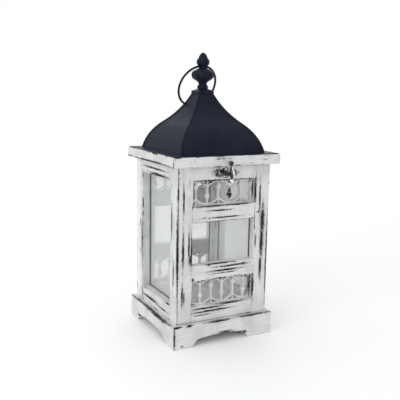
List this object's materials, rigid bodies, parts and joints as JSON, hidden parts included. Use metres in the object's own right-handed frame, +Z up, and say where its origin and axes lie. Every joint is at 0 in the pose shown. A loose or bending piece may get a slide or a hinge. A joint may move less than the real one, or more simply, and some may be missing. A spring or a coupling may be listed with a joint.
{
  "type": "candle lantern",
  "caption": "Square glazed wooden candle lantern with a hinged front door and turn latch, an ogee metal roof and a swinging ring handle.",
  "frame": {"origin": "on the ground under the middle of the plinth", "axes": "+Z up, the door faces -Y, the door's hinges are on the +X side"},
  "size_m": [0.1826, 0.1957, 0.4497],
  "materials": {
    "painted_wood": "chalky white paint, worn through at edges",
    "bare_wood": "bare softwood",
    "window_glass": "clear with a slight green tint",
    "black_metal": "satin blue-black paint",
    "silver_metal": "polished, darkened in the recesses",
    "plain_steel": "dull zinc"
  },
  "bodies": {
    "case": {"plinth_front": "painted_wood", "plinth_back": "painted_wood", "plinth_left": "painted_wood", "plinth_right": "painted_wood", "corner_blocks": "bare_wood", "floor_board": "painted_wood", "left_front_stile": "painted_wood", "left_back_stile": "painted_wood", "left_top_rail": "painted_wood", "left_bottom_rail": "painted_wood", "left_glass": "window_glass", "left_beads": "painted_wood", "right_front_stile": "painted_wood", "right_back_stile": "painted_wood", "right_top_rail": "painted_wood", "right_bottom_rail": "painted_wood", "right_glass": "window_glass", "right_beads": "painted_wood", "back_stiles": "painted_wood", "back_top_rail": "painted_wood", "back_mid_rails": "painted_wood", "back_bottom_rail": "painted_wood", "back_upper_fret": "painted_wood", "back_lower_fret": "painted_wood", "back_glass": "window_glass", "back_beads": "painted_wood", "cap_front": "painted_wood", "cap_back": "painted_wood", "cap_left": "painted_wood", "cap_right": "painted_wood", "roof_front": "black_metal", "roof_back": "black_metal", "roof_left": "black_metal", "roof_right": "black_metal", "roof_seams": "black_metal", "roof_nails": "black_metal", "roof_crown": "black_metal", "finial": "black_metal", "finial_rod": "plain_steel", "finial_clamp": "plain_steel", "hinge_case_leaves": "plain_steel", "hinge_pins": "plain_steel", "hinge_case_screws": "plain_steel"},
    "door": {"door_free_stile": "painted_wood", "door_hinge_stile": "painted_wood", "door_top_rail": "painted_wood", "door_mid_rails": "painted_wood", "door_bottom_rail": "painted_wood", "door_upper_fret": "painted_wood", "door_lower_fret": "painted_wood", "door_glass": "window_glass", "door_beads": "painted_wood", "hinge_door_leaves": "plain_steel", "hinge_door_screws": "plain_steel", "latch_plate": "silver_metal", "latch_screws": "silver_metal"},
    "latch": {"latch_handle": "silver_metal", "latch_cam": "silver_metal"},
    "ring": {"ring_handle": "black_metal"}
  },
  "joints": [
    {"name": "door_hinge", "type": "hinge", "parent": "case", "child": "door", "pos_m": [0.0824, -0.0637, 0.16], "axis": [0, 0, 1], "range_deg": [0, 175]},
    {"name": "latch_turn", "type": "hinge", "parent": "door", "child": "latch", "pos_m": [0, -0.08, 0.2685], "axis": [0, 1, 0], "range_deg": [0, 180]},
    {"name": "ring_swing", "type": "hinge", "parent": "case", "child": "ring", "pos_m": [0, 0, 0.42871], "axis": [0.9885, 0.1513, 0], "range_deg": [0, 309.6]}
  ]
}
